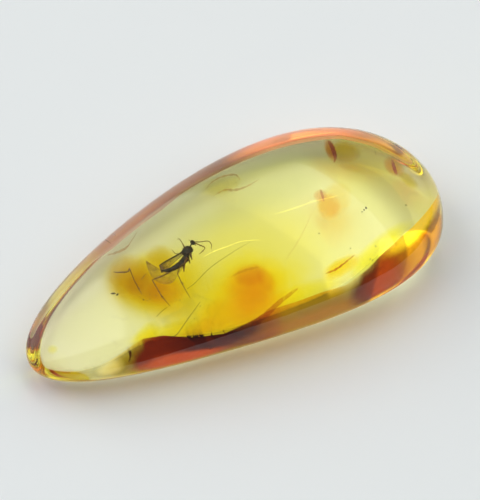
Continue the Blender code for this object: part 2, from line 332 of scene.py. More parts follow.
gnat = {
    "place": (-3.3, 1.18, 4.6), "turn": 20.6,
    "abdomen": (((-0.02, -0.2, 0), 0.18), ((-0.3, -0.34, 0), 0.25), ((-0.65, -0.42, 0), 0.27),
                ((-1.05, -0.43, 0), 0.26), ((-1.45, -0.37, 0), 0.24), ((-1.85, -0.27, 0), 0.21),
                ((-2.2, -0.14, 0), 0.18), ((-2.5, 0.03, 0), 0.15), ((-2.72, 0.22, 0), 0.12),
                ((-2.82, 0.42, 0), 0.06)),
    "abdomenRings": 8,
    # lumps of the body: middle, half sizes, turn in degrees
    "chest": (((0.25, 0.02, 0), (0.53, 0.41, 0.34), -12), ((0.52, -0.06, 0), (0.27, 0.34, 0.27), 0),
              ((0.05, 0.2, 0), (0.3, 0.2, 0.25), 10), ((0.4, 0.2, 0.06), (0.26, 0.2, 0.24), -8),
              ((0.3, -0.22, 0.17), (0.24, 0.22, 0.14), 20), ((0.02, -0.18, 0.15), (0.2, 0.2, 0.14), 5),
              ((0.3, -0.22, -0.17), (0.24, 0.22, 0.14), 20), ((-0.2, 0.1, 0), (0.18, 0.14, 0.16), 20)),
    "neck": (((0.6, 0.08, 0), 0.11), ((0.85, 0.14, 0), 0.065), ((1.12, 0.2, 0), 0.07)),
    "head": (((1.22, 0.2, 0), (0.18, 0.25, 0.2), 15), ((1.16, 0.16, 0), (0.13, 0.2, 0.18), 15)),
    "eyes": (((1.25, 0.25, 0.12), (0.14, 0.19, 0.12), 15), ((1.25, 0.25, -0.12), (0.14, 0.19, 0.12), 15)),
    "feelers": ((((1.34, 0.12, 0.1), 0.045), ((1.7, -0.3, 0.18), 0.036), ((2.05, -0.58, 0.22), 0.033),
                 ((2.27, -0.82, 0.2), 0.03), ((2.22, -1.18, 0.14), 0.026), ((1.9, -1.42, 0.1), 0.018)),
                (((1.36, 0.06, -0.1), 0.05), ((1.58, -0.45, -0.2), 0.044), ((1.68, -0.88, -0.22), 0.034),
                 ((1.22, -0.95, -0.16), 0.028), ((0.84, -0.94, -0.12), 0.018))),
    "mouth": ((((1.26, 0.02, 0), 0.06), ((1.2, -0.22, 0), 0.02)),
              (((1.3, 0.04, 0.06), 0.028), ((1.4, -0.12, 0.1), 0.024), ((1.36, -0.26, 0.1), 0.014)),
              (((1.2, 0.38, 0), 0.03), ((1.16, 0.7, 0), 0.01))),
    # legs, joint by joint
    "legs": (
        (((0.22, 0.26, 0.2), 0.07), ((0.4, 0.8, 0.42), 0.04), ((0.54, 1.22, 0.4), 0.032),
         ((0.38, 1.37, 0.36), 0.018)),
        (((0.02, 0.12, -0.15), 0.07), ((-0.34, 0.42, -0.4), 0.042), ((-0.56, 0.72, -0.44), 0.03),
         ((-0.5, 1.18, -0.4), 0.018)),
        (((0.3, -0.25, 0.12), 0.13), ((0.02, -0.62, 0.22), 0.1), ((-0.17, -0.95, 0.26), 0.035)),
        (((0.05, -0.2, -0.12), 0.13), ((-0.22, -0.6, -0.2), 0.1), ((-0.42, -0.93, -0.24), 0.035)),
        (((-0.75, -0.5, -0.06), 0.13), ((-1.1, -0.78, -0.14), 0.1), ((-1.46, -1.1, -0.16), 0.035)),
        (((-0.35, -0.45, 0.16), 0.12), ((-0.95, -0.72, 0.34), 0.085), ((-1.5, -0.66, 0.42), 0.048),
         ((-2.21, -0.95, 0.4), 0.04), ((-2.6, -1.8, 0.34), 0.04), ((-2.85, -2.5, 0.3), 0.028),
         ((-3.1, -3.24, 0.26), 0.018)),
        (((-0.9, -0.4, -0.14), 0.12), ((-1.6, -0.3, -0.4), 0.09), ((-2.8, 0.02, -0.46), 0.065),
         ((-4.03, 0.46, -0.36), 0.04), ((-4.36, -0.42, -0.28), 0.04), ((-4.62, -1.1, -0.22), 0.04),
         ((-4.76, -1.8, -0.2), 0.028), ((-4.86, -2.4, -0.18), 0.018)),
    ),
    "spurs": ((((-2.56, -1.72, 0.34), 0.034), ((-2.72, -1.96, 0.46), 0.008)),
              (((-2.58, -1.75, 0.34), 0.03), ((-2.54, -2.06, 0.4), 0.008)),
              (((-4.6, -1.02, -0.22), 0.034), ((-4.74, -1.34, -0.34), 0.008)),
              (((-4.61, -1.04, -0.22), 0.03), ((-4.58, -1.38, -0.26), 0.008))),
    # bristles on each part: how many, and the seed of their places
    "bristles": {"chest": (160, 3), "abdomen": (120, 4), "legs": (260, 5), "feelers": (70, 6)},
    "hairLength": (0.07, 0.17), "hairWidth": 0.007,
    "shell": (0.007, 0.004, 0.006), "shellWarm": (0.035, 0.016, 0.01),
    "leg": (0.11, 0.052, 0.018), "legPale": (0.26, 0.15, 0.06),
    "eye": (0.035, 0.008, 0.006), "eyeRim": (0.012, 0.004, 0.004),
}
looseLeg = {
    "leg": (((-6, 3.5, 0.04), 0.03), ((-5.8, 3.22, 0.04), 0.055), ((-5.5, 2.92, 0.03), 0.062),
            ((-5.2, 2.62, 0.02), 0.066), ((-5.02, 2.52, 0.02), 0.052), ((-4.7, 2.68, 0), 0.04),
            ((-5.02, 2.08, 0), 0.036), ((-5.32, 1.52, -0.02), 0.036), ((-5.62, 0.78, -0.04), 0.034),
            ((-5.86, 0.1, -0.06), 0.02)),
    "spurs": ((((-5.6, 0.85, -0.04), 0.03), ((-5.68, 0.52, 0.1), 0.008)),
              (((-5.61, 0.83, -0.04), 0.028), ((-5.58, 0.5, 0), 0.008))),
    "bristles": (90, 8),
}
wings = {
    # both edges from root to tip, height across the body, tilt in degrees
    "folded": {"front": ((0, 0.25), (-0.6, 0.34), (-1.4, 0.58), (-2.2, 0.8), (-2.58, 0.86)),
               "back": ((-0.05, 0.1), (-0.55, 0.02), (-1.4, 0.1), (-2.2, 0.14), (-2.98, 0.22)),
               "height": 0.12, "tilt": -3, "vein": 0.055, "taper": 0.1, "haze": (0.1, 0.8), "closed": 0.9},
    "spread": {"front": ((-0.1, -0.15), (-1, -0.75), (-2.12, -0.97), (-3.03, -1.14), (-3.63, -0.85),
                         (-4.01, -0.23), (-3.98, 0.61), (-3.62, 1.42), (-3.16, 2.02)),
               "back": ((-0.1, 0), (-1, -0.1), (-1.9, -0.2), (-2.5, -0.05), (-2.85, 0.54), (-3, 1.2),
                        (-3.1, 1.98)),
               "height": -0.1, "tilt": 4, "vein": 0.008, "taper": 0.5, "haze": (0.15, 0.25), "closed": 0.5},
    # share of the way from front to back edge, start and end along the wing, share of the vein's width
    "longVeins": ((0, 0, 1, 1), (0.16, 0, 0.86, 0.55), (0.34, 0.05, 0.96, 0.25),
                  (0.52, 0.1, 0.98, 0.22), (0.7, 0.15, 0.9, 0.2), (0.86, 0.1, 0.75, 0.2),
                  (1, 0, 1, 0.4)),
    # place along the wing, and the shares between which each crosses it
    "crossVeins": ((0.34, 0.16, 0.52), (0.55, 0.34, 0.7), (0.7, 0, 0.34)),
    "along": 36, "across": 10, "thickness": 0.012,
    "film": (0.26, 0.16, 0.09), "smudge": (0.2, 0.06, 0.025), "veins": (0.012, 0.006, 0.006),
}


def inDrop():  # carries the gnat's own millimetres into the drop
    turn = Matrix.Rotation(math.radians(gnat["turn"]), 4, "Z")
    return Matrix.Translation(Vector(gnat["place"]) * mm) @ turn @ Matrix.Scale(mm, 4)


def strands(name, runs, sides, finish):  # round threads, each a run of places and radii
    curve = bpy.data.curves.new(name, "CURVE")
    curve.dimensions = "3D"
    curve.bevel_depth = 1.0
    curve.bevel_resolution = sides
    curve.use_fill_caps = True
    for run in runs:
        spline = curve.splines.new("POLY")
        spline.points.add(len(run) - 1)
        for point, (where, radius) in zip(spline.points, run):
            point.co = (*where, 1.0)
            point.radius = radius
    pick(linked(name, curve))
    bpy.ops.object.convert(target="MESH")
    item = bpy.context.object
    item.data.materials.append(finish)
    outward(item)
    item.data.shade_smooth()
    return item


def flowing(run, steps, ripple=0, depth=0.0):  # a smooth run through the places given
    rows = [Vector((*where, radius)) for where, radius in run]
    rows = [rows[0] * 2 - rows[1]] + rows + [rows[-1] * 2 - rows[-2]]
    out = []
    last = (len(rows) - 3) * steps
    for index in range(last + 1):
        span = min(index // steps, len(rows) - 4)
        part = (index - span * steps) / steps
        a, b, c, d = rows[span:span + 4]
        square, cube = 2 * a - 5 * b + 4 * c - d, 3 * b - a - 3 * c + d
        at = 0.5 * (2 * b + (c - a) * part + square * part ** 2 + cube * part ** 3)
        swell = 1.0 + depth * abs(math.sin(math.pi * ripple * index / last))
        out.append((Vector(at[:3]), max(0.004, at[3]) * swell))
    return out


def smoothLine(places, height, steps):  # the same through level places, without radii
    return [spot for spot, _ in flowing([((x, y, height), 1.0) for x, y in places], steps)]


def jointed(run):  # a leg: straight between its joints, each piece a little swollen
    out = []
    for index, ((start, thick), (end, thin)) in enumerate(zip(run, run[1:])):
        start, end = Vector(start), Vector(end)
        foot = index >= len(run) - 3
        count = 14 if foot else 7
        for step in range(count):
            part = step / count
            swell = 0.86 + 0.22 * math.sin(math.pi * part)
            if foot:  # small foot joints
                swell = 0.84 + 0.26 * abs(math.sin(math.pi * part * 2.5))
            out.append((start.lerp(end, part), (thick + (thin - thick) * part) * swell))
    out.append((Vector(run[-1][0]), run[-1][1] * 0.7))
    return out


def lumps(name, balls, finish, voxel):  # rounded masses grown into one
    made = []
    for middle, halves, turn in balls:
        pick()
        bpy.ops.mesh.primitive_uv_sphere_add(segments=32, ring_count=20, location=middle,
                                             rotation=(0, 0, math.radians(turn)), scale=halves)
        made.append(bpy.context.object)
    whole = joinUp(made, name)
    if voxel:
        whole.data.remesh_voxel_size = voxel
        bpy.ops.object.voxel_remesh()
        smooth = whole.modifiers.new("smooth", "SMOOTH")
        smooth.factor, smooth.iterations = 0.5, 3
        applyModifiers(whole)
    whole.data.materials.append(finish)
    whole.data.shade_smooth()
    return whole


def bodyFinish(name, dark, warm, bumpScale, bumpDepth):
    finish = Finish(name)
    where = finish.place()
    patch = finish.within(finish.grain(where, 3.2, 4.0), 0.4, 0.72)
    finish.set("Base Color", finish.mixed(patch, dark, warm))
    finish.set("Roughness", finish.grain(where, 9.0) * 0.35 + 0.22)
    finish.set("Coat Weight", patch * 0.3)
    finish.bump(finish.grain(where, bumpScale), bumpDepth, 0.7)
    return finish.material


def eyeFinish():
    finish = Finish("gnat eye")
    where = finish.place()
    cells = finish.add("ShaderNodeTexVoronoi", sockets={"Vector": where, "Scale": 28.0}, out="Distance")
    finish.set("Base Color", finish.mixed(finish.within(cells, 0.2, 0.7), gnat["eye"], gnat["eyeRim"]))
    finish.set("Roughness", cells * 0.3 + 0.15)
    finish.bump(cells, 0.02, invert=True)
    return finish.material


def wingFinish():
    finish = Finish("wing film")
    where = finish.place()
    blotch = finish.within(finish.grain(where, 1.1, warp=0.6), 0.42, 0.7)
    tip = finish.mark("tip")
    finish.set("Base Color", finish.mixed(tip * 0.8 + blotch * 0.2, wings["film"], wings["smudge"]))
    finish.set("Roughness", blotch * 0.2 + 0.3)
    finish.set("Alpha", finish.mark("haze") + blotch * 0.1)
    crease = finish.add("ShaderNodeTexWave", {"bands_direction": "X"}, {
        "Vector": finish.place(turn=(0, 0, 0.5)), "Scale": 2.2, "Distortion": 3.0})
    finish.bump(crease, 0.02)
    return finish.material


def makeWing(name, plan, film, veinFinish):  # a film between two edges, and its veins
    along, across = wings["along"], wings["across"]
    front = smoothLine(plan["front"], 0.0, along)
    back = smoothLine(plan["back"], 0.0, along)

    def at(part, aside):  # part from root to tip, aside from front to back edge
        first = front[min(len(front) - 1, round(part * (len(front) - 1)))]
        second = back[min(len(back) - 1, round(part * (len(back) - 1)))]
        spot = first.lerp(second, aside)
        lift = plan["height"] + 0.035 * math.sin(9 * aside + 5 * part) * math.sin(math.pi * part)
        lift -= math.tan(math.radians(plan["tilt"])) * spot.x
        return Vector((spot.x, spot.y, lift))

    work = bmesh.new()
    haze = work.verts.layers.float.new("haze")
    tip = work.verts.layers.float.new("tip")
    rows = [[work.verts.new(at(i / along, j / across)) for j in range(across + 1)] for i in range(along + 1)]
    for i, row in enumerate(rows):
        for j, vert in enumerate(row):
            part = i / along
            vert[tip] = max(0.0, (part - 0.62) / 0.38) ** 1.5
            vert[haze] = plan["haze"][0] + plan["haze"][1] * vert[tip]
    for i in range(along):
        for j in range(across):
            work.faces.new((rows[i][j], rows[i + 1][j], rows[i + 1][j + 1], rows[i][j + 1]))
    mesh = bpy.data.meshes.new(name)
    work.to_mesh(mesh)
    work.free()
    item = linked(name, mesh)
    mesh.materials.append(film)
    thicken(item, wings["thickness"])
    outward(item)
    item.data.shade_smooth()
    runs = []
    thick = plan["vein"]
    steps = 26
    for aside, start, end, share in wings["longVeins"]:
        run = []
        for k in range(steps + 1):
            radius = thick * share * (1.05 - plan["taper"] * k / steps)
            run.append((at(start + (end - start) * k / steps, aside), radius))
        runs.append(run)
    for part, first, second in wings["crossVeins"]:
        runs.append([(at(part + 0.03 * k / 6, first + (second - first) * k / 6), thick * 0.35)
                     for k in range(7)])
    runs.append([(at(1.0, k / 10), thick * plan["closed"]) for k in range(11)])  # the outer edge
    return item, strands(name + " veins", runs, 1, veinFinish)


def hairsOn(source, count, finish, seed, name):  # fine bristles standing on the shell and legs
    chance = random.Random(seed)
    mesh = source.data
    faces = [face for face in mesh.polygons if face.area > 0]
    weights = [face.area for face in faces]
    runs = []
    for face in chance.choices(faces, weights=weights, k=count):
        root = face.center.copy()
        lean = Vector((chance.uniform(-1, 0.2), chance.uniform(-0.4, 0.4), chance.uniform(-0.4, 0.4)))
        way = (face.normal + lean * 0.6).normalized()
        reach = chance.uniform(*gnat["hairLength"])
        bow = Vector((-0.25, 0, 0)) * reach
        runs.append([(root - way * 0.01, gnat["hairWidth"]),
                     (root + way * reach * 0.55, gnat["hairWidth"] * 0.7),
                     (root + way * reach + bow, gnat["hairWidth"] * 0.25)])
    return strands(name, runs, 0, finish)


def makeGnat():
    shell = bodyFinish("gnat shell", gnat["shell"], gnat["shellWarm"], 22.0, 0.02)
    legShell = bodyFinish("gnat leg", gnat["leg"], gnat["legPale"], 30.0, 0.01)
    abdomen = strands("abdomen", [flowing(gnat["abdomen"], 14, gnat["abdomenRings"], 0.16)], 5, shell)
    for vert in abdomen.data.vertices:  # narrower across than deep
        vert.co.z *= 0.86
    chest = lumps("chest", gnat["chest"], shell, 0.022)
    head = lumps("head", gnat["head"], shell, 0.016)
    eyes = lumps("eyes", gnat["eyes"], eyeFinish(), 0)
    neck = strands("neck", [flowing(gnat["neck"], 6)], 3, shell)
    feelers = strands("feelers", [flowing(run, 14, 17, 0.28) for run in gnat["feelers"]]
                      + [flowing(run, 6) for run in gnat["mouth"]], 2, legShell)
    runs = [jointed(run) for run in gnat["legs"]] + [list(run) for run in gnat["spurs"]]
    legs = strands("legs", runs, 3, legShell)
    hosts = {"chest": (chest, shell), "abdomen": (abdomen, shell),
             "legs": (legs, legShell), "feelers": (feelers, legShell)}
    bristles = []
    for name, (count, seed) in gnat["bristles"].items():
        host, finish = hosts[name]
        bristles.append(hairsOn(host, count, finish, seed, name + " hairs"))
    whole = joinUp([abdomen, chest, head, eyes, neck, feelers, legs, *bristles], "gnat")
    whole.data.transform(inDrop())
    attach(whole, "root")
    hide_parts("insect")
    film = wingFinish()
    veinShell = bodyFinish("wing vein", wings["veins"], (0.07, 0.035, 0.016), 20.0, 0.01)
    parts = [*makeWing("wing folded", wings["folded"], film, veinShell),
             *makeWing("wing spread", wings["spread"], film, veinShell)]
    pair = joinUp(parts, "gnatWings")
    pair.data.transform(inDrop())
    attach(pair, "root")
    runs = [jointed(looseLeg["leg"])] + [list(run) for run in looseLeg["spurs"]]
    loose = strands("loose leg", runs, 3, legShell)
    count, seed = looseLeg["bristles"]
    fuzz = hairsOn(loose, count, legShell, seed, "loose hairs")
    loose = joinUp([loose, fuzz], "looseLeg")
    loose.data.transform(inDrop())
    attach(loose, "root")
    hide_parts("loose_leg")
    for piece in (whole, pair, loose):
        print(piece.name, "made:", len(piece.data.polygons), "faces")


makeGnat()


# thin clouds in the amber, each a flat lens that fades out to its rim: stains, and one painted shade at the
# rear

cloudLenses = {
    "segments": 56, "rings": 28,
    "buckle": 0.36,  # how far each lens is from flat, in its own half height
    "margin": 0.25,  # kept clear under the amber's surface, in millimetres
    # middle, half sizes, turn in degrees, what the middle lets through, ragged edge
    "clouds": {
        "yellow heart": ((0.8, -0.6, 2), (11.5, 5.8, 1.2), 6, (1, 0.97, 0.62), 0.3),
        "hot yellow": ((-0.5, -3, 1.2), (9, 3.2, 0.5), 4, (1, 0.93, 0.25), 0.5),
        "blob glow": ((1.2, -1.7, 1.4), (4.6, 3.2, 0.4), 5, (1, 0.94, 0.32), 0.5),
        "gnat glow": ((-5.6, 1.3, 1.1), (5.8, 3.3, 0.4), -12, (1, 0.94, 0.42), 0.6),
        "left flare": ((-9.6, -2.7, 1.2), (2.3, 0.9, 0.25), 22, (1, 0.93, 0.2), 0.5),
        "corner glow": ((15.6, 3.7, 2), (3.8, 1.9, 0.35), -38, (1, 0.93, 0.36), 0.6),
        # painted shade: a grey lens that darkens the rear, where the floor seen through the drop gets less
        # light
        "painted rear shade": ((5.5, 5.7, 0.8), (14, 3.3, 0.35), -2, (0.95, 0.96, 0.9), 0.1),
        "glow right": ((13.4, -2.85, 1), (4.4, 0.85, 0.25), 16, (1, 0.96, 0.1), 0.4),
        "glow middle": ((3.6, -3.8, 1), (7, 0.85, 0.25), 0, (1, 0.94, 0.16), 0.4),
        "glow left": ((-6.6, -3.1, 1), (5.6, 0.95, 0.25), -8, (1, 0.92, 0.16), 0.4),
        "big blob": ((1.25, -2.3, 1.55), (3.1, 2.35, 0.5), 7, (0.97, 0.78, 0.06), 0.4),
        "blob brow": ((1.75, -1.55, 1.65), (1.9, 1, 0.3), -8, (0.91, 0.66, 0.22), 0.5),
        "blob side": ((2.85, -2.25, 1.65), (0.9, 1.2, 0.3), 12, (0.96, 0.82, 0.3), 0.5),
        "blob tail": ((-1.95, -3.3, 1.3), (3.4, 1.35, 0.35), -6, (0.96, 0.8, 0.08), 0.4),
        "tail end": ((-5, -3.6, 1.1), (2.4, 0.75, 0.3), 6, (0.96, 0.8, 0.16), 0.5),
        "leg cloud": ((-8.3, 2.2, 1.9), (2.7, 2.3, 0.45), 13, (0.85, 0.68, 0.22), 0.6),
        "leg cloud floor": ((-7.3, 1, 1.3), (2.4, 1.8, 0.35), -10, (0.92, 0.82, 0.22), 0.7),
        "wing cloud": ((-5, 2.5, 2.2), (1.7, 1.5, 0.4), -5, (0.9, 0.77, 0.26), 0.6),
        "belly cloud": ((-6, -0.15, 1.7), (2.3, 1.35, 0.4), -15, (0.95, 0.74, 0.06), 0.5),
        "cloud skirt": ((-6.6, 1.2, 1.2), (4.9, 3.3, 0.45), -25, (1, 0.95, 0.3), 0.6),
        "knot": ((11.1, 1, 2), (1.45, 1.2, 0.35), 38, (0.99, 0.75, 0.08), 0.8),
        "knot halo": ((11.7, 1.2, 2.3), (2.3, 1.5, 0.3), 20, (1, 0.88, 0.45), 0.9),
        "knot brow": ((10.75, 1.95, 2.4), (0.75, 0.65, 0.22), 0, (0.9, 0.64, 0.4), 0.6),
        "crescent halo": ((14.4, 4.5, 2.4), (1.6, 1, 0.35), -30, (0.92, 0.74, 0.06), 0.5),
        "crescent glow": ((13.45, 5.1, 2.4), (0.55, 1.15, 0.3), -8, (0.86, 0.42, 0.04), 0.5),
        "streak halo": ((17.35, 1.75, 2.5), (1.15, 0.75, 0.3), -75, (0.9, 0.55, 0.03), 0.5),
        "streak tail": ((17.8, 0.4, 2.5), (1.1, 0.45, 0.22), -70, (0.88, 0.82, 0.18), 0.6),
        "front streak": ((9.6, -3.5, 1.7), (2.4, 0.7, 0.26), 6, (0.98, 0.78, 0.06), 0.6),
        "tip spot": ((-17.8, -0.78, 1.3), (0.55, 0.42, 0.2), -13, (1, 0.97, 0.4), 0.4),
        "olive swirl": ((3.4, 6.2, 2.2), (2.4, 0.95, 0.3), -4, (0.94, 0.9, 0.62), 1),
    },
}


def cloudFinish():
    finish = Finish("stained amber and painted shade")
    where = finish.place()
    edge = finish.mark("edge")
    ragged = finish.mark("ragged")
    drift = finish.grain(where, 0.7, 4.0, 0.6, 0.5) - 0.5
    fine = finish.grain(where, 3.0) - 0.5
    rim = edge + ragged * (drift * 1.4 + fine * 0.3)
    cover = finish.within(rim, 0.0, 1.0) * finish.within(edge, 0.0, 0.6)
    finish.set("Base Color", finish.mixed(cover, white, finish.mark("tint", "Color")))
    finish.setClear()
    return finish.material


def makeClouds():
    shell = BVHTree.FromObject(amber, bpy.context.evaluated_depsgraph_get())
    finish = cloudFinish()
    made = []
    for name, (middle, halves, turn, tint, ragged) in cloudLenses["clouds"].items():
        pick()
        bpy.ops.mesh.primitive_uv_sphere_add(segments=cloudLenses["segments"], ring_count=cloudLenses["rings"])
        lens = bpy.context.object
        lens.name = name
        mesh = lens.data
        edge = mesh.attributes.new("edge", "FLOAT", "POINT")
        rough = mesh.attributes.new("ragged", "FLOAT", "POINT")
        shade = mesh.color_attributes.new("tint", "FLOAT_COLOR", "POINT")
        for index, vert in enumerate(mesh.vertices):
            edge.data[index].value = 1.0 - vert.co.x ** 2 - vert.co.y ** 2
            rough.data[index].value = ragged
            shade.data[index].color = (*tint, 1.0)
            vert.co.z += cloudLenses["buckle"] * math.sin(2.1 * vert.co.x + 0.7 * turn) * vert.co.y
        lens.scale = [half * mm for half in halves]
        lens.rotation_euler = (0, 0, math.radians(turn))
        lens.location = [place * mm for place in middle]
        settle(lens)
        heart = Vector(middle) * mm
        for vert in mesh.vertices:  # nothing reaches the amber's own surface
            out = vert.co - heart
            reach = out.length
            _, _, _, wall = shell.ray_cast(heart, out.normalized(), reach + cloudLenses["margin"] * mm)
            if wall is not None:
                vert.co = heart + out.normalized() * max(0.0, min(reach, wall - cloudLenses["margin"] * mm))
        mesh.materials.append(finish)
        mesh.shade_smooth()
        made.append(lens)
    clouds = joinUp(made, "stainAndShadeLenses")
    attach(clouds, "root")
    print("stain and shade lenses made:", len(cloudLenses["clouds"]))


makeClouds()


# the rind: thin stained skins just under the surface, along the front, the far side and the round end; the
# front and far skins also carry painted glow

rind = {
    "columns": 220, "rows": 26, "depth": 0.1, "thickness": 0.03,
    "frontEnds": (-0.97, 0.985), "farEnds": (-0.985, 0.997), "endEnds": (0.8, 0.995),
    # how high it reaches above the girdle, in degrees round the section, at each station
    "front": ((-0.96, 15), (-0.91, 22), (-0.735, 29), (-0.588, 41), (-0.533, 44), (-0.448, 40), (-0.325, 28),
              (-0.195, 22), (-0.072, 25), (0.027, 29), (0.161, 28), (0.27, 28), (0.381, 26), (0.5, 31),
              (0.588, 37), (0.687, 41), (0.774, 44), (0.879, 48), (0.93, 50)),
    "frontLow": -30,
    # patches: x in millimetres and height as a share of the band, half sizes, what it lets through, soft edge
    "patches": {
        "tip edge": (-12.6, 0.45, 3, 0.6, (0.8, 0.58, 0.05), 0.45),
        "red hollow": (-7.6, 0.5, 5.3, 0.64, (0.28, 0.025, 0.001), 0.2),
        "brown run": (-1, 0.42, 4.4, 0.72, (0.45, 0.14, 0.004), 0.45),
        "olive run": (4.6, 0.55, 5, 0.75, (0.84, 0.52, 0.02), 0.5),
        "rust run": (6.6, 0.2, 5.4, 0.42, (0.88, 0.4, 0.01), 0.5),
        "amber end": (15.2, 0.45, 5.2, 0.85, (0.31, 0.135, 0.004), 0.3),
        "red knot": (11.3, 0.42, 3, 0.6, (0.24, 0.035, 0.001), 0.35),
        "dark fold": (-5, 0.74, 3.9, 0.46, (0.1, 0.01, 0.001), 0.4),
        "orange lens": (-8.2, 0.2, 3.6, 0.26, (1, 0.17, 0.001), 0.35),
        "gold edge": (17, 0.96, 3.4, 0.2, (1, 0.7, 0.04), 0.5),
        "edge glow": (0, -0.06, 19, 0.1, (0.98, 0.74, 0.12), 0.9),
    },
    # painted glow: emission laid over the stains to brighten them, with a painted highlight near the tip
    "paintedGlows": {
        "red hollow": (-7.6, 0.4, 5, 0.55, (0.16, 0.012, 0), 0.3),
        "lens": (-8.4, 0.22, 3.8, 0.26, (0.38, 0.04, 0), 0.5),
        "rust run": (4, 0.16, 8, 0.3, (0.16, 0.06, 0), 0.6),
        "knot": (11.6, 0.4, 2.2, 0.4, (0.42, 0.05, 0), 0.5),
        # painted highlight: a bright pale spot near the tip
        "corner": (-14.8, 0.62, 1, 0.34, (1, 0.92, 0.4), 0.6),
        "gold": (17.2, 0.94, 3, 0.18, (0.35, 0.2, 0), 0.5),
        "end": (16.2, 0.3, 3.6, 0.6, (0.22, 0.1, 0), 0.5),
    },
    "glow": 0.2,
    # heights in millimetres: where the far skin starts, at each station, and where it ends
    "farLow": ((-1, 2.4), (-0.97, 1.3), (-0.88, 0.75), (-0.7, 0.5), (-0.5, 0.45), (-0.38, 0.24),
               (-0.1, 0.26), (0.02, 0.42), (0.2, 0.52), (0.36, 0.64), (0.55, 0.85), (0.7, 1.08), (0.8, 0.95),
               (0.86, 0.7), (0.93, 0.6), (0.975, 1.2), (1, 4.4)),
    # farGlow and tipGlow: painted glow, emission that brightens the far skin and greys its tip end
    "farHigh": 3.9, "farRise": 0.3, "farIndex": 1.06, "farGlow": 0.3, "tipGlow": (0.34, 0.34, 0.2),
    # never lower than this many degrees round the section, so both ends close tidily
    "farDip": ((-1, -15), (-0.93, -45), (-0.84, -90), (0.84, -90), (0.92, -66), (0.97, -38), (1, -12)),
    "end": ((0.8, 6), (0.88, 14), (0.94, 26), (0.995, 60)), "endLow": -20, "endTint": (0.78, 0.42, 0.1),
    # what the far skin lets through, from tip to round end in millimetres
    "far": ((-20, (0.95, 0.95, 0.82)), (-14, (0.85, 0.83, 0.64)), (-9, (0.66, 0.48, 0.42)),
            (-4, (0.68, 0.48, 0.4)), (0, (0.55, 0.36, 0.28)), (5, (0.42, 0.25, 0.18)),
            (9, (0.98, 0.56, 0.4)), (15, (1, 0.58, 0.4)), (18, (0.8, 0.62, 0.36)),
            (20.5, (0.6, 0.42, 0.16))),
}


def onSection(station, side, turn):  # the drop's surface, so far round the section at a station
    ring = math.sqrt(1.0 - station ** 2)
    return dropPoint(Vector((station, side * math.cos(turn) * ring, math.sin(turn) * ring)))


def heightAngle(station, side, height):  # how far round the section the surface reaches this height
    low, high = -90.0, 90.0
    for _ in range(24):
        middle = (low + high) / 2
        below = onSection(station, side, math.radians(middle)).z < height
        low, high = (middle, high) if below else (low, middle)
    return low


def skinStrip(name, side, lowAt, highAt, first, last):  # the drop's own surface, set in a little
    columns, rows = rind["columns"], rind["rows"]
    verts, ups, faces = [], [], []
    for i in range(columns + 1):
        station = first + (last - first) * i / columns
        low, high = lowAt(station), highAt(station)
        for j in range(rows + 1):
            angle = math.radians(low + (high - low) * j / rows)
            verts.append(onSection(station, side, angle) * mm)
            ups.append(math.degrees(angle) / high if side < 0 else j / rows)
    for i in range(columns):
        for j in range(rows):
            a = i * (rows + 1) + j
            face = (a, a + rows + 1, a + rows + 2, a + 1)
            faces.append(face if side < 0 else (face[0], *face[:0:-1]))
    item = sheet(name, verts, faces, "up", ups)
    pick(item)
    bpy.ops.object.mode_set(mode="EDIT")
    bpy.ops.mesh.select_all(action="SELECT")
    bpy.ops.transform.shrink_fatten(value=-rind["depth"] * mm)
    bpy.ops.object.mode_set(mode="OBJECT")
    thicken(item, rind["thickness"] * mm)
    item.data.shade_smooth()
    return item


def between(table, at):  # straight between the places of a table
    for (a, low), (b, high) in zip(table, table[1:]):
        if at <= b:
            return low + (high - low) * max(0.0, (at - a) / (b - a))
    return table[-1][1]


def frontRindFinish():
    finish = Finish("red rind and painted glow")
    where = finish.place()
    x = finish.add("ShaderNodeSeparateXYZ", sockets={0: where})
    up = finish.mark("up")
    drift = finish.grain(where, 0.55, 4.0, 0.6) - 0.5
    streak = finish.grain(finish.place(scale=(2.4, 0.5, 0.5)), 1.0, 3.0, 0.6) - 0.5

    def laid(colour, patches):  # each patch over the ones before it
        for middle, height, long, tall, tint, soft in patches.values():
            reach = (((x - middle) / long) ** 2 + ((up - height) / tall) ** 2) ** 0.5
            reach = reach + drift * 0.5 + streak * 0.25
            colour = finish.mixed(1 - finish.within(reach, 1 - soft, 1 + soft), colour, tint)
        return colour

    finish.set("Base Color", laid(white, rind["patches"]))
    # painted glow: emission laid in patches over the stains
    finish.set("Emission Color", laid(black, rind["paintedGlows"]))
    finish.set("Emission Strength", rind["glow"])
    finish.setClear()
    return finish.material


def farRindFinish():
    finish = Finish("salmon rind and painted glow")
    where = finish.place()
    x = finish.add("ShaderNodeSeparateXYZ", sockets={0: where})
    drift = finish.grain(where, 0.5, 4.0, 0.6) - 0.5
    half = drop["length"] / 2
    stops = [((place + half) / drop["length"], shade) for place, shade in rind["far"]]
    colour = finish.ramp((x + half) / drop["length"] + drift * 0.05, stops)
    fine = finish.within(finish.grain(where, 3.0, 4.0), 0.3, 0.75)
    finish.set("Base Color", finish.mixed(fine * 0.06, colour, (0.42, 0.2, 0.08)))
    finish.set("Roughness", fine * 0.04 + 0.28)
    finish.set("IOR", rind["farIndex"])
    # painted glow: emission, grey at the tip and a dimmed copy of the stain colour elsewhere
    tip = finish.within(x, -14.0, -7.0)
    finish.set("Emission Color", finish.mixed(tip, rind["tipGlow"], finish.mixed(0.6, colour, black)))
    finish.set("Emission Strength", rind["farGlow"])
    finish.set("Transmission Weight", 1.0)
    return finish.material


def endRindFinish():  # fades out towards the top
    finish = Finish("end rind")
    drift = finish.grain(finish.place(), 0.6, 4.0, 0.6) - 0.5
    cover = 1 - finish.within(finish.mark("up") + drift * 0.3, 0.45, 0.95)
    finish.set("Base Color", finish.mixed(cover, white, rind["endTint"]))
    finish.setClear()
    return finish.material


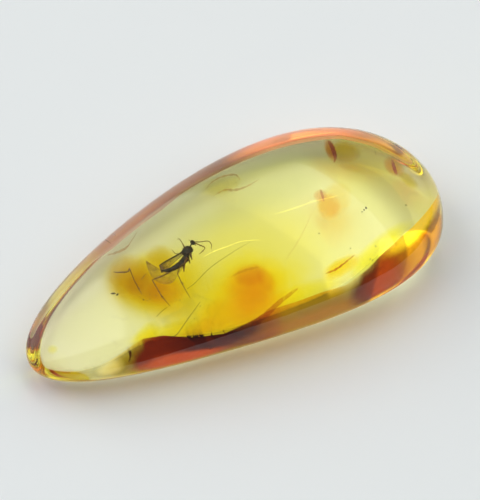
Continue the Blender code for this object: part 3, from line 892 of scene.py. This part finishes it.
def makeRind():
    front = skinStrip("frontRind", -1, lambda s: rind["frontLow"],
                      lambda s: between(rind["front"], s), *rind["frontEnds"])
    front.data.materials.append(frontRindFinish())
    far = skinStrip("farRind", 1,
                    lambda s: max(heightAngle(s, 1, between(rind["farLow"], s)), between(rind["farDip"], s)),
                    lambda s: heightAngle(s, 1, rind["farHigh"] * (1 + rind["farRise"] * s)),
                    *rind["farEnds"])
    far.data.materials.append(farRindFinish())
    end = skinStrip("endRind", 1, lambda s: rind["endLow"],
                    lambda s: between(rind["end"], s), *rind["endEnds"])
    end.data.materials.append(endRindFinish())
    for piece in (front, far, end):
        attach(piece, "root")
    print("rind made")


makeRind()


# cracks, painted glowing lines, grit and stray hairs

flaws = {
    # places in millimetres, height of the middle, half height, lean, strength of the stain
    "cracks": {
        "long crack": (((5.14, -3.73), (3.03, -4.13), (1.8, -4.47), (0.15, -4.83), (-0.66, -5.16)),
                       1.6, 0.24, 0.05, 0.7),
        "blob crack": (((0, -1.22), (0.95, -1.13), (1.92, -1.19), (2.83, -1.35)), 1.9, 0.16, 0.03, 0.35),
        "front crack": (((8.04, -3.68), (9.02, -3.66), (10, -3.47), (11.14, -3.19)), 1.9, 0.1, 0.08, 0.95),
        "crescent": (((13.57, 5.8), (13.66, 5.4), (13.62, 4.84), (13.5, 4.36), (13.22, 4.05)),
                     2.5, 0.12, 0.16, 1),
        "right streak": (((17.41, 2.35), (17.37, 1.92), (17.31, 1.37), (17.31, 1.05)), 2.5, 0.11, 0.12, 1),
        "rim flow": (((-5.7, 5.36), (-6.51, 4.91), (-7.26, 4.51), (-8.23, 4.44), (-9.18, 4.55)),
                     2.5, 0.3, 0.04, 0.6),
        "swirl line": (((1.81, 6.3), (2.77, 6.68), (3.8, 6.75), (4.91, 6.48), (5.07, 5.92)),
                       2.5, 0.2, 0.03, 0.5),
        "swirl line low": (((2.36, 5.6), (3.4, 5.63), (4.19, 5.28), (5.21, 5.16), (6.49, 5.28)),
                           2.5, 0.2, 0.03, 0.5),
        "faint line": (((4.93, -1.94), (6.95, -0.88), (8.96, 0.56), (9.86, 1.59)), 2.4, 0.15, 0.02, 0.12),
        "knot core": (((11.05, 2.52), (10.99, 2.08), (10.86, 1.49)), 2.1, 0.12, 0.1, 0.7),
    },
    "crackTint": (0.48, 0.15, 0.004), "crackPale": (0.78, 0.36, 0.01), "crackWall": 0.015,
    # painted light: glowing threads that stand in for thin bright lines of focused light: place and radius
    "glowLines": (((-1.57, 0.94, 0.015), (-0.31, 1.01, 0.045), (0.99, 0.95, 0.04), (2.18, 0.9, 0.03),
               (3.31, 0.59, 0.02), (4.05, 0.3, 0.008)),
              ((6.28, 1.94, 0.015), (7.22, 1.81, 0.035), (8.15, 1.73, 0.045), (8.93, 1.69, 0.03),
               (9.8, 1.65, 0.04), (11.23, 1.4, 0.03), (12.56, 1.23, 0.01))),
    "glowLineHeight": 2.6,
    "glowLineBright": (1, 0.95, 0.5), "glowLineDim": (0.15, 0.14, 0.06), "glowLineStrength": 0.22,
    "gritDark": (0.022, 0.02, 0.012), "gritWarm": (0.1, 0.07, 0.03), "gritSeed": 11,
    # middle, radius
    "grit": (((13.33, -1.25, 4), 0.075), ((13.55, -1.2, 4.1), 0.095), ((13.1, -1.3, 3.9), 0.06),
             ((8.7, -1.65, 4), 0.06), ((10.71, -3.58, 3.6), 0.055), ((12.8, -4.29, 3.8), 0.05),
             ((11.93, -4.83, 3.4), 0.05), ((12.06, -4.98, 3.4), 0.045), ((16.74, -2.12, 4), 0.06),
             ((-8.81, -1.08, 4), 0.065), ((-8.24, -1.26, 4), 0.05), ((-8.53, -1.3, 4), 0.04),
             ((-5.22, -3.94, 3.2), 0.04), ((-5.79, -2.38, 4), 0.04), ((-7.6, -1.22, 4.1), 0.045),
             ((-4.26, -3.3, 3.5), 0.04), ((-8.1, -0.95, 4.2), 0.035), ((-9, -0.75, 4.1), 0.035)),
    "flakes": (((-11.02, 0.62, 4), (0.22, 0.1, 0.05), -25), ((-10.72, 0.36, 4), (0.17, 0.09, 0.05), 20)),
    "hairs": ((((-8.34, -4.53, 3), 0.03), ((-7.45, -4.58, 3.1), 0.026), ((-6.51, -4.16, 3.2), 0.024),
               ((-5.65, -3.73, 3.3), 0.022), ((-4.02, -2.9, 3.4), 0.014)),
              (((-4.45, -1.26, 3), 0.012), ((-3.52, -1.05, 3), 0.016), ((-1.6, -0.35, 3), 0.016),
               ((0.69, 0.1, 3), 0.012), ((2.89, 0.4, 3), 0.006)),
              (((-8.14, 0.6, 4.4), 0.02), ((-7.76, 0.81, 4.4), 0.024), ((-7.4, 0.92, 4.4), 0.014)),
              (((-6.7, 0.87, 4.4), 0.024), ((-6.47, 0.91, 4.4), 0.028), ((-6.2, 0.84, 4.4), 0.018)),
              (((-8.42, -2.78, 3.6), 0.016), ((-7.69, -2.49, 3.6), 0.02), ((-7.05, -2.35, 3.6), 0.012))),
}


def makeCracks():  # upright curled flakes, thin as paper
    finish = Finish("iron stain")
    patch = finish.grain(finish.place(), 2.2, 4.0, 0.6)
    tint = finish.mixed(patch, flaws["crackTint"], flaws["crackPale"])
    cover = finish.mark("strength") * finish.within(patch, 0.15, 0.5)
    finish.set("Base Color", finish.mixed(cover, white, tint))
    finish.setClear()
    made = []
    for name, (places, height, half, lean, strength) in flaws["cracks"].items():
        run = smoothLine(places, height, 12)
        verts, faces, marks = [], [], []
        count = len(run) - 1
        for i, spot in enumerate(run):
            swell = math.sin(math.pi * (0.06 + 0.9 * i / count)) ** 0.6
            for j in range(5):
                side = (j - 2) / 2 * half * swell
                wave = 0.02 * math.sin(i * 0.9 + j)
                shift = Vector((lean * side / half + wave, (0.3 + lean) * side * 0.4 + wave, side))
                verts.append((spot + shift) * mm)
                marks.append(strength * (0.35 + 0.65 * swell))
        for i in range(count):
            for j in range(4):
                a = i * 5 + j
                faces.append((a, a + 5, a + 6, a + 1))
        flake = sheet(name, verts, faces, "strength", marks)
        flake.data.materials.append(finish.material)
        thicken(flake, flaws["crackWall"] * mm)
        flake.data.shade_smooth()
        made.append(flake)
    cracks = joinUp(made, "crackFlakes")
    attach(cracks, "root")


def makeGrit():  # specks, two leafy flakes and stray hairs
    finish = bodyFinish("dark grit", flaws["gritDark"], flaws["gritWarm"], 12.0, 0.02)
    chance = random.Random(flaws["gritSeed"])
    made = []
    grains = [(place, (radius,) * 3, 0) for place, radius in flaws["grit"]] + list(flaws["flakes"])
    for place, halves, turn in grains:
        pick()
        bpy.ops.mesh.primitive_ico_sphere_add(subdivisions=3)
        grain = bpy.context.object
        seed = Vector((chance.uniform(0, 50), chance.uniform(0, 50), chance.uniform(0, 50)))
        for vert in grain.data.vertices:
            vert.co *= 0.85 + 0.5 * noise.noise(vert.co * 1.4 + seed)
        grain.scale = [half * mm for half in halves]
        grain.rotation_euler = (chance.uniform(-0.4, 0.4), chance.uniform(-0.4, 0.4), math.radians(turn))
        grain.location = [value * mm for value in place]
        settle(grain)
        grain.data.materials.append(finish)
        grain.data.shade_smooth()
        made.append(grain)
    threads = strands("stray hairs", [flowing(run, 8) for run in flaws["hairs"]], 1, finish)
    threads.data.transform(Matrix.Scale(mm, 4))
    grit = joinUp([*made, threads], "gritAndHairs")
    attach(grit, "root")


def makePaintedGlowLines():  # painted light: glowing threads for thin bright lines of focused light
    finish = Finish("painted glow line")
    finish.set("Base Color", (1.0, 1.0, 0.9))
    finish.setClear()
    broken = finish.within(finish.grain(finish.place(), 2.6), 0.25, 0.65)
    # painted light: emission along the threads, dimmer where the noise breaks them
    finish.set("Emission Color", finish.mixed(broken, flaws["glowLineDim"], flaws["glowLineBright"]))
    finish.set("Emission Strength", flaws["glowLineStrength"])
    runs = [[((x, y, flaws["glowLineHeight"]), radius) for x, y, radius in run] for run in flaws["glowLines"]]
    glowLines = strands("paintedGlowLines", [flowing(run, 12) for run in runs], 2, finish.material)
    glowLines.data.transform(Matrix.Scale(mm, 4))
    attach(glowLines, "root")


makeCracks()
makeGrit()
makePaintedGlowLines()
print("cracks, grit, hairs and seams made")


# the floor and the light

floorSetup = {"size": 3, "gap": 0.02, "colour": (0.8, 0.81, 0.805)}

studioSetup = {
    "sky": (0.955, 0.985, 0.995), "dim": 0.18,
    # each panel: brightness, then its edges: turn and rise of the lit side, where the fade starts and ends
    "panels": {
        "left wall": (0.45, ((-111.4, 0, 0.255, 0.295), (0, 0, -0.44, -0.34))),
        "left window": (1.45, ((-111.4, 0, 0.26, 0.285), (0, 0, -0.44, -0.34), (0, 90, 0.5, 0.66))),
        "left corner": (1.1, ((-111.4, 0, 0.04, 0.07), (0, 0, 0.1, 0.35), (0, -90, -0.8, -0.62))),
        "overhead": (1.65, ((-126.3, 0, -0.385, -0.365), (53.7, 0, -0.1, 0.42), (0, 90, 0.5, 0.68))),
        "far low": (0.19, ((8, 22, 0.6, 0.92),)),
        "far right": (0.78, ((60, 47, 0.62, 0.86),)),
    },
}


def makeFloor(setup):
    pick()
    bpy.ops.mesh.primitive_plane_add(size=setup["size"], location=(0, 0, -setup["gap"] * mm))
    floor = bpy.context.object
    floor.name = "floor"
    finish = Finish("pale paper")
    speckle = finish.grain(finish.place(), 0.02, 2.0)
    finish.set("Base Color", finish.mixed(speckle * 0.04, setup["colour"], (0.75, 0.76, 0.755)))
    finish.set("Roughness", 0.7)
    finish.set("Specular IOR Level", 0.0)
    floor.data.materials.append(finish.material)


def makeStudio(setup):  # a dim tent with soft panels of light
    world = bpy.data.worlds.new("studio")
    bpy.context.scene.world = world
    world.use_nodes = True
    sky = Graph(world.node_tree)
    toward = sky.add("ShaderNodeTexCoord", out="Generated")
    light = setup["dim"]
    for brightness, edges in setup["panels"].values():
        panel = brightness
        for turn, rise, start, end in edges:
            side = sky.add("ShaderNodeVectorMath", {"operation": "DOT_PRODUCT"},
                           {0: toward, 1: tuple(heading(turn, rise))}, out="Value")
            panel = sky.within(side, start, end) * panel
        light = panel + light
    ground = world.node_tree.nodes["Background"]
    sky.feed(ground.inputs["Color"], setup["sky"])
    sky.feed(ground.inputs["Strength"], light)


makeFloor(floorSetup)
makeStudio(studioSetup)
scene = bpy.context.scene
scene.view_settings.view_transform = "Standard"
scene.cycles.blur_glossy = 0.0  # the drop throws its light sharply
scene.cycles.max_bounces = 48  # light turns many times inside the drop
scene.cycles.transmission_bounces = 44
scene.cycles.glossy_bounces = 12
scene.cycles.transparent_max_bounces = 24
print("floor and light set")
